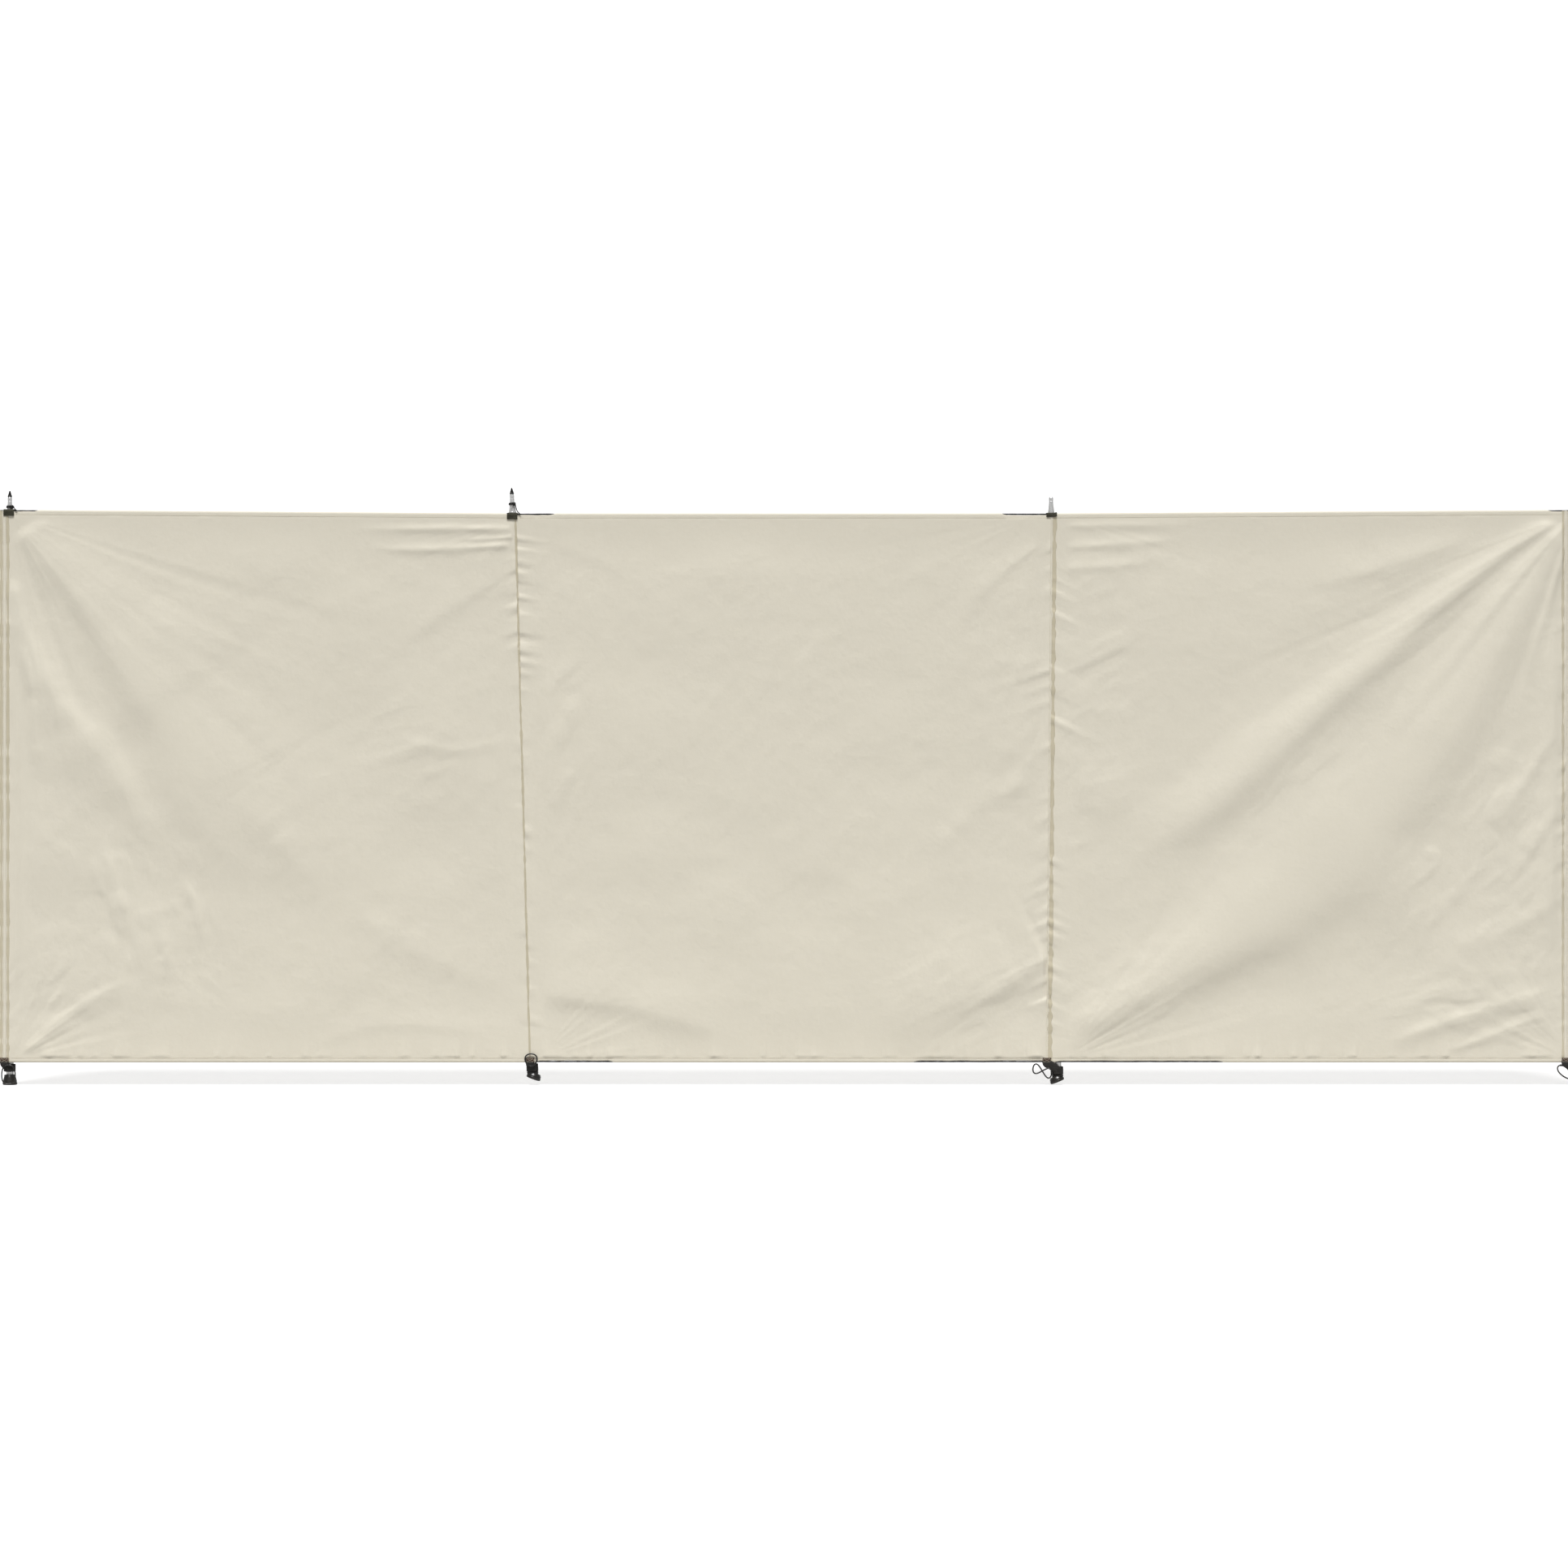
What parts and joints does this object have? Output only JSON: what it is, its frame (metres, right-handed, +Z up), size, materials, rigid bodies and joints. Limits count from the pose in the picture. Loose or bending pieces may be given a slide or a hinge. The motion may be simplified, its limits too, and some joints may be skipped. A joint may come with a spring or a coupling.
{
  "type": "beach windbreak",
  "caption": "Free-running fabric windbreak in three bays: cream panels sleeved on steel poles, with webbing tabs, peg loops and rubber feet.",
  "frame": {"origin": "centre of the flat underside of the first post's foot, on the ground", "axes": "+X along the windbreak from the first post to the fourth, +Z up, and the front faces -Y"},
  "size_m": [4.059, 0.0415, 1.524],
  "materials": {
    "cream_canvas": "plain-woven polyester with a faint sheen, creased and tensioned",
    "bright_steel": "bright plated steel",
    "black_plastic": "moulded, slightly glossy",
    "olive_webbing": "woven olive-black webbing",
    "brown_webbing": "woven brown webbing with bar stitching",
    "black_webbing": "woven black webbing",
    "black_cord": "braided black cord",
    "black_rubber": "moulded rubber with a soft gloss"
  },
  "bodies": {
    "root": {"panel_left": "cream_canvas", "panel_middle": "cream_canvas", "panel_right": "cream_canvas", "sleeve_1": "cream_canvas", "sleeve_2": "cream_canvas", "sleeve_3": "cream_canvas", "sleeve_4": "cream_canvas", "pole_1": "bright_steel", "pole_2": "bright_steel", "pole_3": "bright_steel", "pole_4": "bright_steel", "spike_1": "bright_steel", "spike_2": "bright_steel", "spike_3": "bright_steel", "spike_4": "bright_steel", "spike_cap_1": "black_plastic", "spike_cap_2": "black_plastic", "spike_cap_4": "black_plastic", "spike_tie_1": "black_cord", "spike_tie_2": "black_cord", "spike_tie_4": "black_cord", "top_tab_1": "olive_webbing", "top_tab_2": "olive_webbing", "top_tab_3": "olive_webbing", "top_tab_4": "olive_webbing", "hem_tab_1": "brown_webbing", "hem_tab_2": "brown_webbing", "hem_tab_3": "brown_webbing", "hem_tab_4": "brown_webbing", "pole_strap_1": "black_webbing", "pole_strap_2": "black_webbing", "pole_strap_3": "black_webbing", "pole_strap_4": "black_webbing", "peg_loop_1": "black_rubber", "peg_loop_2": "black_rubber", "peg_loop_3": "black_rubber", "peg_loop_4": "black_rubber", "foot_1": "black_rubber", "foot_2": "black_rubber", "foot_3": "black_rubber", "foot_4": "black_rubber", "top_cord": "black_cord", "bottom_cord": "black_cord"}
  },
  "joints": []
}
